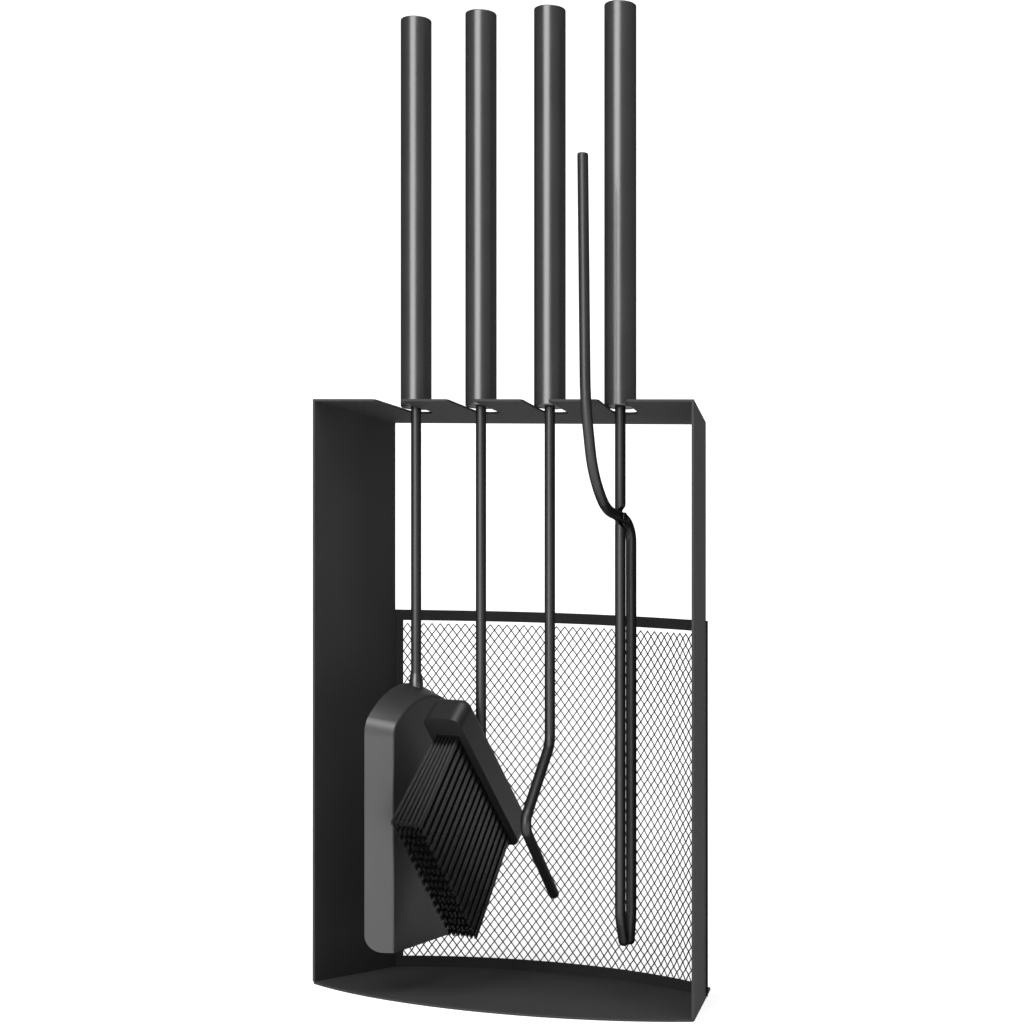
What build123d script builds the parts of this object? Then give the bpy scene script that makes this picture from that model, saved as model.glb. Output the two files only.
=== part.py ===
from build123d import *
import math
import os

# Fireplace tool set: a sheet-steel stand with a curved wire guard and four hanging tools.
# Millimetres, +Z up, +X to the right, +Y to the rear. The origin is on the underside of the base.

# Stand sizes
sheet = 1.5
stand_height = 388.6
front_half_width = 130.1
rear_half_width = 113.7
panel_front_y = -41.0
panel_rear_y = 62.0
base_rear_y = 108.0
base_bow = 46.0
base_corner_radius = 4.0

# Wire guard sizes
mesh_height = 254.2
mesh_crown = 3.7
band_width = 7.5
band_thickness = 1.6
mesh_thickness = 0.8
guard_edge_gap = 0.2
guard_overhang = 1.0

# Tool rail sizes
tool_pitch = 48.13
hang_ys = (0.0, -4.5, -4.5, -4.5)
notch_width = 17.5
notch_end_y = 15.8
notch_mouth_radius = 2.5
seat_gap = 0.1

# Handle sizes
handle_diameter = 21.0
handle_length = 262.6
handle_wall = 1.5
cap_thickness = 2.0
cap_edge_radius = 0.8
bush_thickness = 2.5
bush_edge_radius = 1.2
spigot_length = 25.0
rod_insert = 22.0
fit_clearance = 0.05

# Round bar size, shared by all tools
rod_diameter = 7.0
rod_end_radius = 1.2

# Shovel sizes, with heights measured down from the foot of the handle; the walls flare from floor to rim
# and the lip slants down towards the front
shovel_yaw = 3.0
pan_apex_drop = 186.3
pan_length = 172.5
pan_lip_slope = 2.5
pan_depth = 17.0
pan_rim_offset = 4.0
pan_rim_width = 144.0
pan_rim_bow_radius = 106.0
pan_floor_width = 126.0
pan_floor_bow_radius = 98.0
pan_floor_apex_drop = 7.7
pan_corner_radius = 14.0
pan_sheet = 1.2
pan_bend_radius = 2.0
pan_lip_corner_radius = 11.0
pan_overcut = 2.0
collar_height = 6.5
collar_foot_diameter = 9.6
collar_top_wall = 0.4
weld_clearance = 0.02

# Brush sizes; the head is tilted along the brush's own plane, which is yawed about the bar
brush_yaw = 11.6
brush_tilt = 46.0
block_length = 117.0
block_width = 28.0
block_height = 22.0
block_corner_radius = 7.0
block_top_radius = 6.0
block_face_forward = 11.8
block_face_drop = 250.8
bar_depth_in_block = 12.0
bristle_length = 78.4
bristle_lean = 6.8
bristle_set_back = 4.0
bristle_root_length = 99.0
bristle_root_width = 18.0
bristle_tip_length = 106.7
bristle_tip_width = 24.0
bristle_trim_tilt = 2.0

# Poker sizes
poker_first_bend_drop = 222.3
poker_elbow_forward = 55.5
poker_elbow_drop = 273.1
poker_tip_back = 10.0
poker_tip_drop = 322.6
poker_first_bend_radius = 14.0
poker_elbow_radius = 9.0

# Tongs sizes
tongs_yaw = 10.0
pivot_drop = 71.2
arm_top_forward = 54.6
arm_top_rise = 152.1
arm_knee_forward = 51.0
arm_knee_drop = 3.6
arm_sweep_forward = 39.5
arm_sweep_drop = 52.6
crossing_forward = 20.0
crossing_rise = 2.1
arm_spread = 16.6
knee_radius = 150.0
sweep_radius = 60.0
crossing_radius = 25.0
shoulder_radius = 15.0
tip_bend_drop = 332.6
tip_drop = 351.5
tip_bend_radius = 26.0
tip_gap = 0.4
fixed_tip_share = 0.67
tip_end_radius = 3.0
lap_gap = 0.1
lap_radius = 5.8
lap_taper = 35.0
lap_thickness = 2.6
rivet_diameter = 3.0
rivet_head_diameter = 5.6
rivet_head_thickness = 1.3
rivet_edge_radius = 0.5
running_clearance = 0.05

# Derived levels and radii
base_top = sheet
rail_top = base_top + stand_height
rail_underside = rail_top - sheet
hang_z = rail_top + seat_gap
rod_radius = rod_diameter / 2
bore_radius = rod_radius + fit_clearance
handle_radius = handle_diameter / 2
handle_bore_radius = handle_radius - handle_wall
spigot_radius = handle_bore_radius - fit_clearance

# The side panels and the notches all point at one centre behind the stand
panel_slope = (front_half_width - rear_half_width) / (panel_rear_y - panel_front_y)
fan_centre_y = panel_rear_y + rear_half_width / panel_slope
panel_sheet_x = sheet * math.hypot(1, panel_slope)

os.makedirs("parts", exist_ok=True)


def save(piece, name):
    piece.part.label = name
    export_step(piece.part, f"parts/{name}.step")


def side_x(y):
    return front_half_width - panel_slope * (y - panel_front_y)


def tool_x(index):
    return (index - 1.5) * tool_pitch


def tool_plane(index, yaw):
    """Plane of a hanging tool: local x points forward, local y up, origin at the handle's foot."""
    forward = (-math.sin(math.radians(yaw)), -math.cos(math.radians(yaw)), 0)
    side = (forward[1], -forward[0], 0)
    return Plane(origin=(tool_x(index), hang_ys[index], hang_z), x_dir=forward, z_dir=side)


def level(index, height):
    """Horizontal plane on a tool's bar axis, at a height above the handle's foot."""
    return Plane(origin=(tool_x(index), hang_ys[index], hang_z + height))


# Base plate: straight splayed sides, straight rear edge, bowed front edge
with BuildPart() as base_plate:
    with BuildSketch():
        with BuildLine():
            front_x = side_x(panel_front_y)
            rear_x = side_x(base_rear_y)
            Line((front_x, panel_front_y), (rear_x, base_rear_y))
            Line((rear_x, base_rear_y), (-rear_x, base_rear_y))
            Line((-rear_x, base_rear_y), (-front_x, panel_front_y))
            ThreePointArc(
                (-front_x, panel_front_y), (0, panel_front_y - base_bow), (front_x, panel_front_y)
            )
        base_face = make_face()
        fillet(base_face.vertices(), base_corner_radius)
    extrude(amount=sheet)
save(base_plate, "base_plate")

# Side panels: upright sheets that stand on the base and carry the rail
for side, panel_name in ((-1, "left_side_panel"), (1, "right_side_panel")):
    with BuildPart() as side_panel:
        with BuildSketch(Plane.XY.offset(base_top)):
            with BuildLine():
                Polyline(
                    (side * side_x(panel_front_y), panel_front_y),
                    (side * side_x(panel_rear_y), panel_rear_y),
                    (side * (side_x(panel_rear_y) - panel_sheet_x), panel_rear_y),
                    (side * (side_x(panel_front_y) - panel_sheet_x), panel_front_y),
                    close=True,
                )
            make_face()
        extrude(amount=stand_height - sheet)
    save(side_panel, panel_name)

# Tool rail: top sheet with one round-ended notch per tool, open to the front
with BuildPart() as tool_rail:
    with BuildSketch(Plane.XY.offset(rail_underside)) as rail_outline:
        with BuildLine():
            Polyline(
                (front_half_width, panel_front_y),
                (rear_half_width, panel_rear_y),
                (-rear_half_width, panel_rear_y),
                (-front_half_width, panel_front_y),
                close=True,
            )
        make_face()
        notch_round_y = notch_end_y - notch_width / 2
        notch_run = 2 * (notch_round_y - panel_front_y)
        for index in range(4):
            fan_angle = math.degrees(math.atan2(tool_x(index), fan_centre_y))
            with Locations(Location((tool_x(index), notch_round_y, 0), (0, 0, fan_angle))):
                Circle(notch_width / 2, mode=Mode.SUBTRACT)
                Rectangle(notch_width, notch_run, align=(Align.CENTER, Align.MAX), mode=Mode.SUBTRACT)
        mouth_corners = rail_outline.vertices().filter_by(
            lambda corner: abs(corner.Y - panel_front_y) < 0.01 and abs(corner.X) < front_half_width - 1
        )
        fillet(mouth_corners, notch_mouth_radius)
    extrude(amount=sheet)
save(tool_rail, "tool_rail")

# Wire guard: an arc from one panel's rear edge to the other, just inside the base's rear edge
guard_apex_y = base_rear_y - band_thickness / 2 - guard_edge_gap
guard_half_chord = rear_half_width - panel_sheet_x / 2 + guard_overhang
crown_half_width = guard_half_chord + band_thickness
guard_rise = guard_apex_y - panel_rear_y
guard_radius = (guard_half_chord**2 + guard_rise**2) / (2 * guard_rise)
guard_centre_y = guard_apex_y - guard_radius
guard_half_angle = math.degrees(math.asin(guard_half_chord / guard_radius))
band_angle = math.degrees(band_width / guard_radius)


def guard_strip(bottom, top, thickness, clip, crowned_edges=()):
    """Upright strip on the guard's arc, inside the plan outline clip, trimmed to crowned edges."""
    with BuildPart() as strip:
        with BuildSketch(Plane.XY.offset(bottom)):
            with Locations((0, guard_centre_y)):
                Circle(guard_radius + thickness / 2)
                Circle(guard_radius - thickness / 2, mode=Mode.SUBTRACT)
            with BuildLine():
                Polyline(*clip, close=True)
            make_face(mode=Mode.INTERSECT)
        extrude(amount=top - bottom)
        for edge_level, mode in crowned_edges:
            left_end = (-crown_half_width, edge_level)
            right_end = (crown_half_width, edge_level)
            with BuildSketch(Plane.XZ):
                with BuildLine():
                    Polyline(left_end, (-crown_half_width, 0), (crown_half_width, 0), right_end)
                    ThreePointArc(right_end, (0, edge_level + mesh_crown), left_end)
                make_face()
            extrude(amount=guard_radius, both=True, mode=mode)
    return strip


def guard_ray(angle, radius):
    """Point on a ray from the guard's centre, at an angle from the rear direction."""
    turn = math.radians(angle)
    return (radius * math.sin(turn), guard_centre_y + radius * math.cos(turn))


inner_angle = guard_half_angle - band_angle
ray_length = 2 * guard_radius
whole_clip = [
    (-ray_length, panel_rear_y),
    (ray_length, panel_rear_y),
    (ray_length, panel_rear_y + ray_length),
    (-ray_length, panel_rear_y + ray_length),
]
middle_clip = [
    (0, guard_centre_y),
    guard_ray(inner_angle, ray_length),
    (0, guard_centre_y + ray_length),
    guard_ray(-inner_angle, ray_length),
]
inner_chord = guard_radius - mesh_thickness - band_thickness
end_clip = [
    (guard_ray(inner_angle, inner_chord)[0], panel_rear_y),
    guard_ray(inner_angle, inner_chord),
    guard_ray(inner_angle, ray_length),
    (ray_length, panel_rear_y),
]
mesh_bottom = base_top + band_width
guard_top = base_top + mesh_height
mesh_top = guard_top - band_width
mesh_edge = [(mesh_top, Mode.INTERSECT)]
band_edges = [(guard_top, Mode.INTERSECT), (mesh_top, Mode.SUBTRACT)]

save(guard_strip(base_top, mesh_bottom, band_thickness, whole_clip), "mesh_bottom_band")
save(
    guard_strip(mesh_top, guard_top + mesh_crown, band_thickness, whole_clip, band_edges),
    "mesh_top_band",
)
save(guard_strip(mesh_bottom, guard_top, mesh_thickness, middle_clip, mesh_edge), "wire_mesh")
for side, band_name in ((-1, "mesh_left_band"), (1, "mesh_right_band")):
    clip = [(side * x, y) for x, y in end_clip]
    save(guard_strip(mesh_bottom, guard_top, band_thickness, clip, mesh_edge), band_name)


# Handles: a tube closed by a cap at the top and by a bored bush at the foot
def make_handle(tool, index):
    with BuildPart() as tube:
        with BuildSketch(level(index, bush_thickness)):
            Circle(handle_radius)
            Circle(handle_bore_radius, mode=Mode.SUBTRACT)
        extrude(amount=handle_length - bush_thickness - cap_thickness)
    save(tube, f"{tool}_handle_tube")
    with BuildPart() as cap:
        with BuildSketch(level(index, handle_length - cap_thickness)):
            Circle(handle_radius)
        extrude(amount=cap_thickness)
        fillet(cap.edges().group_by(Axis.Z)[-1], cap_edge_radius)
        with BuildSketch(level(index, handle_length - cap_thickness)):
            Circle(spigot_radius)
        extrude(amount=-spigot_length / 2)
    save(cap, f"{tool}_handle_cap")
    with BuildPart() as bush:
        with BuildSketch(level(index, 0)):
            Circle(handle_radius)
        extrude(amount=bush_thickness)
        fillet(bush.edges().group_by(Axis.Z)[0], bush_edge_radius)
        with BuildSketch(level(index, bush_thickness)):
            Circle(spigot_radius)
        extrude(amount=spigot_length)
        with BuildSketch(level(index, 0)):
            Circle(bore_radius)
        extrude(amount=rod_insert, mode=Mode.SUBTRACT)
    save(bush, f"{tool}_handle_bush")


tool_names = ("shovel", "brush", "poker", "tongs")
for tool_index, tool_name in enumerate(tool_names):
    make_handle(tool_name, tool_index)
shovel_index, brush_index, poker_index, tongs_index = range(4)

# Shovel pan: flared tray that stands in the bar's own plane, bowed at the top, open at the lip
shovel_plane = tool_plane(shovel_index, shovel_yaw)
pan_floor_offset = pan_rim_offset - pan_depth
lip_rise = math.tan(math.radians(pan_lip_slope))


def pan_outline(offset, inset, lip_extra):
    """Outline of the pan at an offset towards its open side, drawn in by an inset."""
    flare = (offset - pan_floor_offset) / pan_depth
    half_width = (pan_floor_width + flare * (pan_rim_width - pan_floor_width)) / 2 - inset
    bow_radius = pan_floor_bow_radius + flare * (pan_rim_bow_radius - pan_floor_bow_radius) - inset
    apex = -pan_apex_drop - (1 - flare) * pan_floor_apex_drop - inset
    shoulder = apex - bow_radius + math.sqrt(bow_radius**2 - half_width**2)
    lip = -pan_apex_drop - pan_length - lip_extra
    lip_drop = half_width * lip_rise
    with BuildSketch(shovel_plane.offset(offset)) as outline:
        with BuildLine():
            Polyline(
                (half_width, shoulder),
                (half_width, lip - lip_drop),
                (-half_width, lip + lip_drop),
                (-half_width, shoulder),
            )
            ThreePointArc((half_width, shoulder), (0, apex), (-half_width, shoulder))
        make_face()
        fillet(outline.vertices().group_by(Axis.Y)[-1], pan_corner_radius - inset)
    return outline.sketch


with BuildPart() as shovel_pan:
    loft([pan_outline(pan_floor_offset, 0, 0), pan_outline(pan_rim_offset, 0, 0)], ruled=True)
    floor_rim = shovel_pan.faces().sort_by(Axis.X)[-1].edges()
    lip_edge = floor_rim.sort_by(Axis.Z)[0]
    fillet(floor_rim - [lip_edge], pan_bend_radius)
    loft(
        [
            pan_outline(pan_floor_offset + pan_sheet, pan_sheet, pan_overcut),
            pan_outline(pan_rim_offset + pan_overcut, pan_sheet, pan_overcut),
        ],
        ruled=True,
        mode=Mode.SUBTRACT,
    )
    lip_corner = shovel_plane.from_local_coords((0, -pan_apex_drop - pan_length, pan_rim_offset))
    lip_run = shovel_plane.x_dir - shovel_plane.y_dir * lip_rise
    with BuildSketch(Plane(origin=lip_corner, x_dir=-shovel_plane.z_dir, z_dir=lip_run)):
        with Locations((-pan_overcut, -pan_overcut)):
            Rectangle(
                pan_lip_corner_radius + pan_overcut,
                pan_lip_corner_radius + pan_overcut,
                align=(Align.MIN, Align.MIN),
            )
        with Locations((pan_lip_corner_radius, pan_lip_corner_radius)):
            Circle(pan_lip_corner_radius, mode=Mode.SUBTRACT)
    extrude(amount=pan_rim_width, both=True, mode=Mode.SUBTRACT)
save(shovel_pan, "shovel_pan")

# The bar and its weld collar end on the pan's sloping top wall
with BuildPart() as pan_seat:
    loft(
        [
            pan_outline(pan_floor_offset, -weld_clearance, 0),
            pan_outline(pan_rim_offset + pan_overcut, -weld_clearance, 0),
        ],
        ruled=True,
    )
weld_reach = pan_apex_drop + pan_floor_apex_drop
with BuildPart() as shovel_rod:
    with BuildSketch(level(shovel_index, -weld_reach)):
        Circle(rod_radius)
    extrude(amount=weld_reach + rod_insert)
    add(pan_seat.part, mode=Mode.SUBTRACT)
save(shovel_rod, "shovel_rod")

with BuildPart() as shovel_weld_collar:
    with BuildSketch(level(shovel_index, -weld_reach)):
        Circle(collar_foot_diameter / 2)
    extrude(amount=weld_reach - pan_apex_drop)
    with BuildSketch(level(shovel_index, -pan_apex_drop)):
        Circle(collar_foot_diameter / 2)
    with BuildSketch(level(shovel_index, -pan_apex_drop + collar_height)):
        Circle(rod_radius + collar_top_wall)
    loft()
    with BuildSketch(level(shovel_index, -weld_reach)):
        Circle(bore_radius)
    extrude(amount=weld_reach, mode=Mode.SUBTRACT)
    add(pan_seat.part, mode=Mode.SUBTRACT)
save(shovel_weld_collar, "shovel_weld_collar")

# Brush: a rounded block on the slant, with the bristle field on its lower front face
brush_plane = tool_plane(brush_index, brush_yaw)
tilt = math.radians(brush_tilt)
block_middle = brush_plane.from_local_coords((block_face_forward, -block_face_drop, 0))
block_along = brush_plane.x_dir * math.cos(tilt) + brush_plane.y_dir * math.sin(tilt)
block_up = brush_plane.y_dir * math.cos(tilt) - brush_plane.x_dir * math.sin(tilt)
block_face = Plane(origin=block_middle, x_dir=block_along, z_dir=block_up)
block_top_drop = (
    block_face_drop + block_face_forward * math.tan(tilt) - block_height / math.cos(tilt)
)
bar_end_drop = block_top_drop + bar_depth_in_block
with BuildPart() as brush_block:
    with BuildSketch(block_face):
        RectangleRounded(block_length, block_width, block_corner_radius)
    extrude(amount=block_height)
    block_top = brush_block.faces().sort_by(Axis(block_middle, block_up))[-1]
    fillet(block_top.edges(), block_top_radius)
    with BuildSketch(level(brush_index, -bar_end_drop)):
        Circle(bore_radius)
    extrude(amount=bar_end_drop, mode=Mode.SUBTRACT)
save(brush_block, "brush_block")

with BuildPart() as brush_rod:
    with BuildSketch(level(brush_index, -bar_end_drop)):
        Circle(rod_radius)
    extrude(amount=bar_end_drop + rod_insert)
save(brush_rod, "brush_rod")

lean = tilt - math.radians(bristle_lean)
bristle_run = brush_plane.x_dir * math.sin(lean) - brush_plane.y_dir * math.cos(lean)
root_middle = block_middle - block_along * bristle_set_back
tip_middle = root_middle + bristle_run * bristle_length
trim_tilt = math.radians(bristle_trim_tilt)
tip_along = block_along * math.cos(trim_tilt) + block_up * math.sin(trim_tilt)
tip_up = block_up * math.cos(trim_tilt) - block_along * math.sin(trim_tilt)
with BuildPart() as brush_bristles:
    with BuildSketch(Plane(origin=root_middle, x_dir=block_along, z_dir=block_up)):
        Rectangle(bristle_root_length, bristle_root_width)
    with BuildSketch(Plane(origin=tip_middle, x_dir=tip_along, z_dir=tip_up)):
        Rectangle(bristle_tip_length, bristle_tip_width)
    loft()
save(brush_bristles, "brush_bristles")


def bent_bar(plane, points, radii):
    """Round bar along a run of straight stretches and arcs in a tool's plane."""
    with BuildLine(plane) as run:
        FilletPolyline(*points, radius=radii)
    bar_start = Plane(origin=run.line @ 0, z_dir=run.line % 0)
    with BuildSketch(bar_start) as section:
        Circle(rod_radius)
    sweep(sections=section.sketch, path=run.line)


# Poker: the bar bends forward, then doubles back to its tip
with BuildPart() as poker_rod:
    bent_bar(
        tool_plane(poker_index, 0),
        [
            (0, rod_insert),
            (0, -poker_first_bend_drop),
            (poker_elbow_forward, -poker_elbow_drop),
            (-poker_tip_back, -poker_tip_drop),
        ],
        [poker_first_bend_radius, poker_elbow_radius],
    )
    fillet(poker_rod.edges().filter_by(GeomType.CIRCLE).sort_by(Axis.Z)[0], rod_end_radius)
save(poker_rod, "poker_rod")

# Tongs: a straight arm under the handle and a curved arm that crosses it, half-lapped at the rivet
tongs_plane = tool_plane(tongs_index, tongs_yaw)
pivot = tongs_plane.from_local_coords((0, -pivot_drop, 0))
lap_back = lap_gap / 2 + lap_thickness
tip_closing = arm_spread - rod_diameter - tip_gap
fixed_tip_reach = fixed_tip_share * tip_closing
moving_tip_reach = tip_closing - fixed_tip_reach
rivet_radius = rivet_diameter / 2
crossing_slope = crossing_rise / crossing_forward


def lap_face(side, offset):
    """Plane square to the rivet, facing one way along it, at an offset from the tongs' plane."""
    facing = Plane(origin=pivot, x_dir=tongs_plane.x_dir, z_dir=tongs_plane.z_dir * side)
    return facing.offset(offset)


def cut_lap(side, bore):
    """Halve a bar round the rivet on one side, flatten its back and drill it."""
    with BuildSketch(lap_face(side, -lap_gap / 2)) as lap:
        Circle(lap_radius)
    extrude(lap.sketch, amount=rod_diameter, taper=-lap_taper, mode=Mode.SUBTRACT)
    with BuildSketch(lap_face(-side, lap_back)) as back:
        Circle(lap_radius)
    extrude(back.sketch, amount=rod_diameter, taper=-lap_taper, mode=Mode.SUBTRACT)
    with BuildSketch(lap_face(side, 0)) as drill:
        Circle(bore)
    extrude(drill.sketch, amount=rod_diameter, both=True, mode=Mode.SUBTRACT)


with BuildPart() as tongs_fixed_arm:
    bent_bar(
        tongs_plane,
        [(0, rod_insert), (0, -tip_bend_drop), (-fixed_tip_reach, -tip_drop)],
        [tip_bend_radius],
    )
    fillet(tongs_fixed_arm.edges().filter_by(GeomType.CIRCLE).sort_by(Axis.Z)[0], tip_end_radius)
    cut_lap(-1, rivet_radius + fit_clearance)
save(tongs_fixed_arm, "tongs_fixed_arm")

with BuildPart() as tongs_moving_arm:
    bent_bar(
        tongs_plane,
        [
            (arm_top_forward, arm_top_rise),
            (arm_knee_forward, -arm_knee_drop),
            (arm_sweep_forward, -arm_sweep_drop),
            (crossing_forward, -pivot_drop + crossing_rise),
            (-arm_spread, -pivot_drop - crossing_slope * arm_spread),
            (-arm_spread, -tip_bend_drop),
            (-arm_spread + moving_tip_reach, -tip_drop),
        ],
        [knee_radius, sweep_radius, crossing_radius, shoulder_radius, tip_bend_radius],
    )
    arm_rims = tongs_moving_arm.edges().filter_by(GeomType.CIRCLE).sort_by(Axis.Z)
    fillet(arm_rims[0], tip_end_radius)
    fillet(arm_rims[-1], rod_end_radius)
    cut_lap(1, rivet_radius + running_clearance)
save(tongs_moving_arm, "tongs_moving_arm")

with BuildPart() as tongs_pivot_rivet:
    with BuildSketch(lap_face(1, lap_back)):
        Circle(rivet_head_diameter / 2)
    extrude(amount=rivet_head_thickness)
    with BuildSketch(lap_face(-1, lap_back + lap_gap)):
        Circle(rivet_head_diameter / 2)
    extrude(amount=rivet_head_thickness)
    fillet(tongs_pivot_rivet.edges().filter_by(GeomType.CIRCLE), rivet_edge_radius)
    with BuildSketch(lap_face(-1, lap_back + lap_gap)):
        Circle(rivet_radius)
    extrude(amount=-2 * lap_back - lap_gap)
save(tongs_pivot_rivet, "tongs_pivot_rivet")
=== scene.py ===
import math
import random

import bmesh
import bpy
from mathutils import Matrix, Vector


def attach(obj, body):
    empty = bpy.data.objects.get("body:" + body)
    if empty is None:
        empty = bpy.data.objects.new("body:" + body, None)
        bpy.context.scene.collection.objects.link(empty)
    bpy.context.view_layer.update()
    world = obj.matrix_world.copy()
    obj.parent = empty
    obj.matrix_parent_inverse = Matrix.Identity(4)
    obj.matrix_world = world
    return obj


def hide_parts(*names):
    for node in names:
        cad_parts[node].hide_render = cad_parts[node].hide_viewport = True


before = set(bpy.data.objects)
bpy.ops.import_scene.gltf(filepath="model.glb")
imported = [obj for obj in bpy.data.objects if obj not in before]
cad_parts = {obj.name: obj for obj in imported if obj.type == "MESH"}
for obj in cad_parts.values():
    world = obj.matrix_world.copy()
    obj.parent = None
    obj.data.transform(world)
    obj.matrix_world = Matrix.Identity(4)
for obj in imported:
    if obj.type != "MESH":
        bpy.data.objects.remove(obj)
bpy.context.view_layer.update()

# Stand: a bowed base, two splayed side panels and a notched rail, cut from 1.5 mm sheet steel and welded.
# Matt black powder coat with some metal flake, baked on: an even soft sheen, faintly clouded, over orange
# peel. The coat rounds the sheared edges, which catch the light as thin lines.
MM = 0.001
CLOUD_MM = 45
SPECK_MM = 0.9
SPECK_SHARE = 0.35
GLOSS_SPREAD = 0.05
EDGE_ANGLE = math.radians(40)


def linear(hex_colour):
    """sRGB hex, such as "1f1f20", as linear RGBA."""
    channels = [int(hex_colour[i:i + 2], 16) / 255 for i in (0, 2, 4)]
    return [c / 12.92 if c <= 0.04045 else ((c + 0.055) / 1.055) ** 2.4 for c in channels] + [1.0]


def add(tree, kind, settings=None, links=None):
    """Adds a node; settings fill its properties and sockets, links feed its sockets from other nodes."""
    node = tree.nodes.new(kind)
    for key, value in (settings or {}).items():
        if isinstance(key, str) and hasattr(node, key):
            setattr(node, key, value)
        else:
            node.inputs[key].default_value = value
    for key, source in (links or {}).items():
        tree.links.new(source, node.inputs[key])
    return node


def new_material(name):
    """Empty node material: the material, its tree and its output."""
    material = bpy.data.materials.new(name)
    material.use_nodes = True
    tree = material.node_tree
    tree.nodes.clear()
    return material, tree, tree.nodes.new("ShaderNodeOutputMaterial")


def coating(name, colour, cloud_colour, roughness, peel_mm, peel_depth_mm,
            ior=1.5, flake=0.0, flake_edge=0.3):
    """Smooth black finish: orange peel in the surface, slow clouds in colour and gloss, fine specks.

    flake is the share of metal flake, and flake_edge how far it still mirrors at a glancing angle.
    The specks are drawn coarser than real flake, so that they show.
    """
    material, tree, output = new_material(name)
    place = add(tree, "ShaderNodeTexCoord").outputs["Object"]
    peel = add(tree, "ShaderNodeTexNoise", {"Scale": 1 / (peel_mm * MM), "Detail": 3.0},
               {"Vector": place})
    cloud = add(tree, "ShaderNodeTexNoise", {"Scale": 1 / (CLOUD_MM * MM), "Detail": 3.0},
                {"Vector": place})
    speck = add(tree, "ShaderNodeTexNoise", {"Scale": 1 / (SPECK_MM * MM), "Detail": 1.0},
                {"Vector": place})
    tone = add(tree, "ShaderNodeMath", {"operation": "MULTIPLY_ADD", 1: SPECK_SHARE},
               {0: speck.outputs["Fac"], 2: cloud.outputs["Fac"]})
    shade = add(tree, "ShaderNodeMix",
                {"data_type": "RGBA", 6: linear(colour), 7: linear(cloud_colour)},
                {0: tone.outputs[0]})
    gloss = add(tree, "ShaderNodeMapRange",
                {"To Min": roughness - GLOSS_SPREAD, "To Max": roughness + GLOSS_SPREAD},
                {"Value": cloud.outputs["Fac"]})
    bump = add(tree, "ShaderNodeBump", {"Strength": 1.0, "Distance": peel_depth_mm * MM},
               {"Height": peel.outputs["Fac"]})
    shader = add(tree, "ShaderNodeBsdfPrincipled", {"IOR": ior, "Metallic": flake},
                 {"Base Color": shade.outputs[2], "Roughness": gloss.outputs["Result"],
                  "Normal": bump.outputs["Normal"]})
    if flake:
        shader.inputs["Specular Tint"].default_value = (flake_edge, flake_edge, flake_edge, 1)
    tree.links.new(shader.outputs["BSDF"], output.inputs["Surface"])
    return material


def finish_node(name, material, edge_mm=0.0):
    """Gives a CAD node its material, and rounds its sharp edges where a radius is given."""
    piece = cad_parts[name]
    piece.data.materials.clear()
    piece.data.materials.append(material)
    if edge_mm:
        edge = piece.modifiers.new("edge", "BEVEL")
        edge.width = edge_mm * MM
        edge.segments = 2
        edge.limit_method = "ANGLE"
        edge.angle_limit = EDGE_ANGLE
        edge.harden_normals = True


stand_coat = coating("stand_powder_coat", "434344", "4a4a4b", roughness=0.75,
                     peel_mm=1.4, peel_depth_mm=0.014, flake=0.5, flake_edge=0.1)
for node_name in ("base_plate", "left_side_panel", "right_side_panel", "tool_rail"):
    finish_node(node_name, stand_coat, edge_mm=0.3)

# Guard frame: four bands of 1.6 mm strip steel, bent to the guard's arc and welded to the panels and base.
# The same kind of powder coat, but darker and duller, so that the bands read as a thin black outline.
band_coat = coating("band_powder_coat", "2a2a2b", "313132", roughness=0.75,
                    peel_mm=1.4, peel_depth_mm=0.014, flake=0.3, flake_edge=0.1)
for node_name in ("mesh_top_band", "mesh_bottom_band", "mesh_left_band", "mesh_right_band"):
    finish_node(node_name, band_coat, edge_mm=0.3)

# Guard mesh: thin steel wires in two slanting directions, woven over and under into upright diamonds.
# They lie on the guard's arc, run on into the bottom and side bands, and end in pairs under the top band.
# A thin satin black dip coat leaves them dark, with a light line along the side that faces the lamp.
GUARD_RADIUS = 166.75
GUARD_CENTRE_Y = -59.75
WIRE_RADIUS = 0.42
WEAVE = 0.32
CROSSING_PITCH = 3.015
CROSSING_ROWS = 60
MESH_HALF_ARC = 117.94
MESH_BOTTOM = 9.0
MESH_TOP = 248.2
TOP_GAP = 2.2
MESH_CROWN = 3.7
CROWN_HALF_WIDTH = 115.54
SIDE_TUCK = 2.2
BOTTOM_TUCK_ROWS = 0.5
SHORTEST_WIRE_COLUMNS = 1
WELD_MM = 0.001
CREASE_ANGLE = math.radians(75)


def guard_point(column, row, out):
    """Point on the guard's arc, by crossing column and row of the weave and distance outwards."""
    turn = column * CROSSING_PITCH / GUARD_RADIUS
    radius = GUARD_RADIUS + out
    side = radius * math.sin(turn)
    top = MESH_TOP - TOP_GAP + MESH_CROWN * (1 - (side / CROWN_HALF_WIDTH) ** 2)
    height = MESH_BOTTOM + (top - MESH_BOTTOM) * row / CROSSING_ROWS
    return Vector((side, GUARD_CENTRE_Y + radius * math.cos(turn), height))


def round_curve(name, radius_mm):
    """Empty curve that draws round six-sided strands with closed ends."""
    curve = bpy.data.curves.new(name, "CURVE")
    curve.dimensions = "3D"
    curve.bevel_depth = radius_mm * MM
    curve.bevel_resolution = 1
    curve.use_fill_caps = True
    return curve


def draw_strand(curve, points, end_share=1.0):
    """Adds a strand to a curve, through points in millimetres, thinned to a share at its end."""
    spline = curve.splines.new("POLY")
    spline.points.add(len(points) - 1)
    for knot, point in zip(spline.points, points):
        knot.co = (*(point * MM), 1)
    spline.points[-1].radius = end_share


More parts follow.
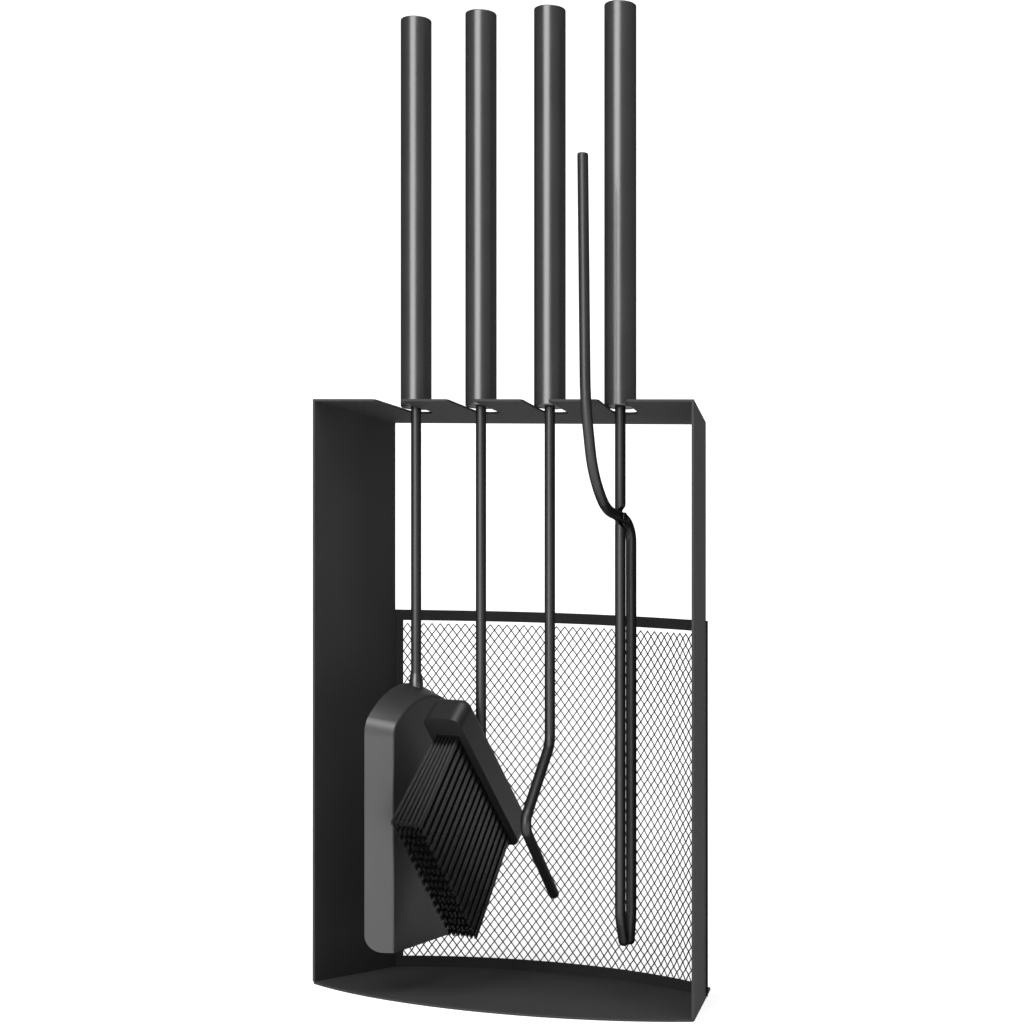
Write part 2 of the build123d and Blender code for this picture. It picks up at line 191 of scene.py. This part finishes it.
def drawn_mesh(curve):
    """Mesh of a drawn curve, in place of the curve: ends welded on, with crisp edges round them."""
    drawing = bpy.data.objects.new(curve.name, curve)
    mesh = bpy.data.meshes.new_from_object(drawing)
    welded = bmesh.new()
    welded.from_mesh(mesh)
    bmesh.ops.remove_doubles(welded, verts=welded.verts, dist=WELD_MM * MM)
    welded.to_mesh(mesh)
    welded.free()
    mesh.set_sharp_from_angle(angle=CREASE_ANGLE)
    bpy.data.objects.remove(drawing)
    bpy.data.curves.remove(curve)
    return mesh


def shaped_mesh(name, shape):
    """Mesh of a finished bmesh."""
    mesh = bpy.data.meshes.new(name)
    shape.to_mesh(mesh)
    shape.free()
    return mesh


def new_piece(name, mesh, material):
    """Piece made of a mesh in one material."""
    mesh.materials.append(material)
    piece = bpy.data.objects.new(name, mesh)
    bpy.context.scene.collection.objects.link(piece)
    return piece


mesh_curve = round_curve("woven_wire", WIRE_RADIUS)
side_column = (MESH_HALF_ARC + SIDE_TUCK) / CROSSING_PITCH
last_wire = 2 * math.ceil((side_column + CROSSING_ROWS) / 2)
for slant in (1, -1):
    for wire in range(-last_wire, last_wire + 1, 2):
        lowest = wire - slant * BOTTOM_TUCK_ROWS
        highest = wire + slant * CROSSING_ROWS
        start = max(min(lowest, highest), -side_column)
        end = min(max(lowest, highest), side_column)
        if end - start < SHORTEST_WIRE_COLUMNS:
            continue
        columns = range(math.ceil(start), math.floor(end) + 1)
        between = [column for column in columns if start < column < end]
        points = []
        for column in [start] + between + [end]:
            out = slant * WEAVE * math.cos(math.pi * column)
            points.append(guard_point(column, slant * (column - wire), out))
        draw_strand(mesh_curve, points)
wire_coat = coating("guard_wire_coat", "121213", "19191a", roughness=0.45,
                    peel_mm=0.6, peel_depth_mm=0.01)
wire_mesh = new_piece("woven_wire_mesh", drawn_mesh(mesh_curve), wire_coat)
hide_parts("wire_mesh")
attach(wire_mesh, "stand")

# Handles: straight 21 mm steel tube, closed by a disc at the top and by a bored bush at the foot.
# Satin black powder coat rich in metal flake: a soft bright band down the side that faces the lamp, and
# dark sides, because flake mirrors little at a glancing angle.
handle_coat = coating("handle_flake_coat", "59595a", "5f5f60", roughness=0.3,
                      peel_mm=1.6, peel_depth_mm=0.006, flake=0.85)
for tool in ("shovel", "brush", "poker", "tongs"):
    for part in ("handle_tube", "handle_cap", "handle_bush"):
        finish_node(f"{tool}_{part}", handle_coat)

# Bars: 7 mm round steel bar, bent cold for the poker and the tongs and pushed into the handles' bushes.
# The tongs' arms are halved where they cross and turn on a flat-headed rivet.
# The handles' coat on a drawn surface: duller, with a narrow highlight.
bar_coat = coating("bar_flake_coat", "404041", "464647", roughness=0.4,
                   peel_mm=1.2, peel_depth_mm=0.008, flake=0.85)
for node_name in ("shovel_rod", "brush_rod", "poker_rod", "tongs_fixed_arm", "tongs_moving_arm",
                  "tongs_pivot_rivet"):
    finish_node(node_name, bar_coat)

# Shovel pan: pressed from 1.2 mm sheet steel, with flared walls, an arched end and a slanting lip.
# The bar ends on the sloping back wall in a dressed weld collar, coated like the handle.
# Satin coat on pressed sheet: broad even reflections that roll over the bends, and a thin light rim.
pan_coat = coating("pan_flake_coat", "565657", "5d5d5e", roughness=0.4,
                   peel_mm=1.4, peel_depth_mm=0.01, flake=0.8)
finish_node("shovel_pan", pan_coat, edge_mm=0.25)
finish_node("shovel_weld_collar", handle_coat)

# Brush block: moulded black polypropylene, drilled for the bar, with a small moulding radius on its edges.
# Its fine mould texture gives a dull even surface, a little lighter where it faces the lamp.
block_plastic = coating("moulded_polypropylene", "1b1b1c", "202021", roughness=0.45,
                        peel_mm=1.0, peel_depth_mm=0.02)
finish_node("brush_block", block_plastic, edge_mm=0.7)

# Bristles: black nylon strands, drawn into the block in 16 by 7 tufts and trimmed on a slight slant.
# Each tuft is two files of four straight strands with pointed tips; smooth nylon gives each a light line.
# The middle of the field, where no light reaches, is one packed heart in painted shade: darker than the
# nylon.
BRUSH_FOOT = Vector((-24.065, -4.5, 390.2))
BRUSH_YAW = math.radians(11.6)
BRUSH_TILT = math.radians(46.0)
BRISTLE_LEAN = math.radians(6.8)
TRIM_TILT = math.radians(2.0)
FACE_FORWARD, FACE_DROP = 11.8, 250.8
FIELD_SET_BACK = 4.0
BRISTLE_LENGTH = 78.4
ROOT_LENGTH, ROOT_WIDTH = 99.0, 18.0
TIP_LENGTH, TIP_WIDTH = 106.7, 24.0
TUFTS_ALONG, TUFTS_ACROSS = 16, 7
STRANDS_ALONG, STRANDS_ACROSS = 4, 2
STRAND_PITCH_ALONG, STRAND_PITCH_ACROSS = 0.28, 0.58
STRAND_RADIUS = 0.36
STRAY = 0.02
TRIM_SPREAD = 0.018
POINT_SHARE = 0.012
POINT_END_SHARE = 0.3
STRAND_SEED = 7
HEART_ALONG, HEART_ACROSS, HEART_REACH = 0.94, 0.86, 0.94
UP = Vector((0, 0, 1))
brush_forward = Vector((-math.sin(BRUSH_YAW), -math.cos(BRUSH_YAW), 0))
block_along = brush_forward * math.cos(BRUSH_TILT) + UP * math.sin(BRUSH_TILT)
block_up = UP * math.cos(BRUSH_TILT) - brush_forward * math.sin(BRUSH_TILT)
block_across = block_up.cross(block_along)
root_middle = BRUSH_FOOT + brush_forward * FACE_FORWARD - UP * FACE_DROP - block_along * FIELD_SET_BACK
lean = BRUSH_TILT - BRISTLE_LEAN
tip_middle = root_middle + (brush_forward * math.sin(lean) - UP * math.cos(lean)) * BRISTLE_LENGTH
tip_along = block_along * math.cos(TRIM_TILT) + block_up * math.sin(TRIM_TILT)


def bristle_point(along, across, reach):
    """Point in the bristle field: along and across from -1 to 1, reach from root 0 to tip 1."""
    root = (root_middle + block_along * (along * ROOT_LENGTH / 2)
            + block_across * (across * ROOT_WIDTH / 2))
    tip = (tip_middle + tip_along * (along * TIP_LENGTH / 2)
           + block_across * (across * TIP_WIDTH / 2))
    return root.lerp(tip, reach)


bristle_curve = round_curve("bristle_strands", STRAND_RADIUS)
draw = random.Random(STRAND_SEED)
for tuft in range(TUFTS_ALONG * TUFTS_ACROSS):
    tuft_row, tuft_column = divmod(tuft, TUFTS_ACROSS)
    for strand in range(STRANDS_ALONG * STRANDS_ACROSS):
        row, column = divmod(strand, STRANDS_ACROSS)
        # Counted in half tufts from the field's corner.
        along = 2 * tuft_row + 1 + (row - (STRANDS_ALONG - 1) / 2) * STRAND_PITCH_ALONG
        across = 2 * tuft_column + 1 + (column - (STRANDS_ACROSS - 1) / 2) * STRAND_PITCH_ACROSS
        root = bristle_point(along / TUFTS_ALONG - 1, across / TUFTS_ACROSS - 1, 0)
        along += draw.gauss(0, STRAY)
        across += draw.gauss(0, STRAY)
        trim = 1 - draw.uniform(0, TRIM_SPREAD)
        tip = bristle_point(along / TUFTS_ALONG - 1, across / TUFTS_ACROSS - 1, trim)
        neck = tip.lerp(root, POINT_SHARE)
        draw_strand(bristle_curve, [root, neck, tip], POINT_END_SHARE)
bristle_nylon = coating("black_bristle_nylon", "0a0a0b", "101011", roughness=0.15,
                        peel_mm=0.4, peel_depth_mm=0.002, ior=1.53)
bristles = new_piece("brush_bristle_tufts", drawn_mesh(bristle_curve), bristle_nylon)
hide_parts("brush_bristles")

heart_shape = bmesh.new()
bmesh.ops.create_cube(heart_shape, size=2.0)
for corner in heart_shape.verts:
    along, across, end = corner.co
    reach = HEART_REACH * (end + 1) / 2
    corner.co = bristle_point(along * HEART_ALONG, across * HEART_ACROSS, reach) * MM
bmesh.ops.recalc_face_normals(heart_shape, faces=heart_shape.faces)
# Painted shade: the heart is darker than the strands' nylon and mirrors less, standing for the shade deep
# in the field.
heart_shade_nylon = coating("painted_shade_packed_bristles", "050506", "080809", roughness=0.9,
                      peel_mm=0.8, peel_depth_mm=0.05, ior=1.15)
heart = new_piece("brush_bristle_shade_heart", shaped_mesh("bristle_shade_heart", heart_shape), heart_shade_nylon)
for piece in (bristles, heart):
    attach(piece, "brush")

# Studio: a white paper floor and backdrop, which the camera sees and the coatings mirror, in a dim room
# with one soft box in front, a little to the left, and one overhead, a little to the right.
PAPER = (0.8, 0.8, 0.8, 1)
ROOM_LIGHT = 0.2
FLOOR_HALF_WIDTH = 6.0
FLOOR_FADE_NEAR, FLOOR_FADE_FAR = 0.3, 2.2
FLOOR_WHITE_NEAR = 0.6
BACKDROP_DISTANCE = 4.0
BACKDROP_HALF_WIDTH = 1.75
BACKDROP_HEIGHT = 2.3
VIEW_YAW = math.radians(18.6)


def white_paper(name):
    """Matt paper, white to camera, glossy and transmission rays: material, tree and its white."""
    material, tree, output = new_material(name)
    path = add(tree, "ShaderNodeLightPath")
    seen = add(tree, "ShaderNodeMath", {"operation": "MAXIMUM"},
               {0: path.outputs["Is Camera Ray"], 1: path.outputs["Is Glossy Ray"]})
    shown = add(tree, "ShaderNodeMath", {"operation": "MAXIMUM"},
                {0: seen.outputs[0], 1: path.outputs["Is Transmission Ray"]})
    matt = add(tree, "ShaderNodeBsdfDiffuse", {"Color": PAPER})
    lift = add(tree, "ShaderNodeEmission", {"Strength": 1.0})
    white = add(tree, "ShaderNodeAddShader", None, {0: matt.outputs[0], 1: lift.outputs[0]})
    choice = add(tree, "ShaderNodeMixShader", None,
                 {0: shown.outputs[0], 1: matt.outputs[0], 2: white.outputs[0]})
    tree.links.new(choice.outputs[0], output.inputs["Surface"])
    return material, tree, lift


# The floor's white fades a little towards the object, so that its shadow shows.
floor_paper, floor_tree, floor_lift = white_paper("floor_paper")
floor_place = add(floor_tree, "ShaderNodeTexCoord").outputs["Object"]
floor_reach = add(floor_tree, "ShaderNodeVectorMath", {"operation": "LENGTH"},
                  {"Vector": floor_place})
floor_level = add(floor_tree, "ShaderNodeMapRange",
                  {"From Min": FLOOR_FADE_NEAR, "From Max": FLOOR_FADE_FAR,
                   "To Min": FLOOR_WHITE_NEAR, "To Max": 1.0},
                  {"Value": floor_reach.outputs["Value"]})
floor_tree.links.new(floor_level.outputs["Result"], floor_lift.inputs["Strength"])
floor_shape = bmesh.new()
bmesh.ops.create_grid(floor_shape, x_segments=1, y_segments=1, size=FLOOR_HALF_WIDTH)
new_piece("floor", shaped_mesh("floor", floor_shape), floor_paper)

view_forward = Vector((-math.sin(VIEW_YAW), math.cos(VIEW_YAW), 0))
view_right = Vector((math.cos(VIEW_YAW), math.sin(VIEW_YAW), 0))
backdrop_shape = bmesh.new()
bmesh.ops.create_grid(backdrop_shape, x_segments=1, y_segments=1, size=1.0)
for corner in backdrop_shape.verts:
    side, rise, _ = corner.co
    corner.co = (view_forward * BACKDROP_DISTANCE + view_right * side * BACKDROP_HALF_WIDTH
                 + UP * (rise + 1) / 2 * BACKDROP_HEIGHT)
new_piece("backdrop", shaped_mesh("backdrop", backdrop_shape), white_paper("backdrop_paper")[0])

world = bpy.data.worlds.new("room")
bpy.context.scene.world = world
world.use_nodes = True
world.node_tree.nodes.clear()
room = add(world.node_tree, "ShaderNodeBackground",
           {"Color": (1, 1, 1, 1), "Strength": ROOM_LIGHT})
add(world.node_tree, "ShaderNodeOutputWorld", None, {"Surface": room.outputs[0]})


def soft_box(name, place, aim, width, height, power):
    """Rectangular soft box at a place, facing a point; metres and watts."""
    lamp = bpy.data.lights.new(name, "AREA")
    lamp.shape = "RECTANGLE"
    lamp.size = width
    lamp.size_y = height
    lamp.energy = power
    box = bpy.data.objects.new(name, lamp)
    bpy.context.scene.collection.objects.link(box)
    box.location = place
    box.rotation_euler = (Vector(aim) - Vector(place)).to_track_quat("-Z", "Y").to_euler()


soft_box("key_box", (-0.2, -1.9, 1.0), (0, 0, 0.5), 1.3, 1.9, 40)
soft_box("top_box", (0.45, -0.7, 2.0), (0, 0, 0), 1.6, 1.2, 24)

# Camera: where the photograph was taken from. The photograph's horizon is tilted and low in the frame
# while its uprights stay upright, so the camera's frame is sheared rather than turned.
IMAGE_SIZE = 1024
FOCAL_PIXELS = 2031.0
HORIZON_BELOW_MIDDLE = 180.0
HORIZON_TILT = 0.04938
CAMERA_PLACE = Vector((0.428, -1.283, 0.2011))
camera_data = bpy.data.cameras.new("camera")
camera = bpy.data.objects.new("camera", camera_data)
bpy.context.scene.collection.objects.link(camera)
bpy.context.scene.camera = camera
camera_data.sensor_width = 36.0
right = view_right + HORIZON_TILT * UP
back = -view_forward - HORIZON_BELOW_MIDDLE / FOCAL_PIXELS * UP
camera_data.lens = camera_data.sensor_width * FOCAL_PIXELS / IMAGE_SIZE * back.length
sheared = Matrix((right, UP, back)).transposed().to_4x4()
sheared.translation = CAMERA_PLACE
tripod = bpy.data.objects.new("tripod", None)
bpy.context.scene.collection.objects.link(tripod)
camera.parent = tripod
camera.matrix_parent_inverse = sheared

bpy.context.scene.view_settings.view_transform = "Standard"
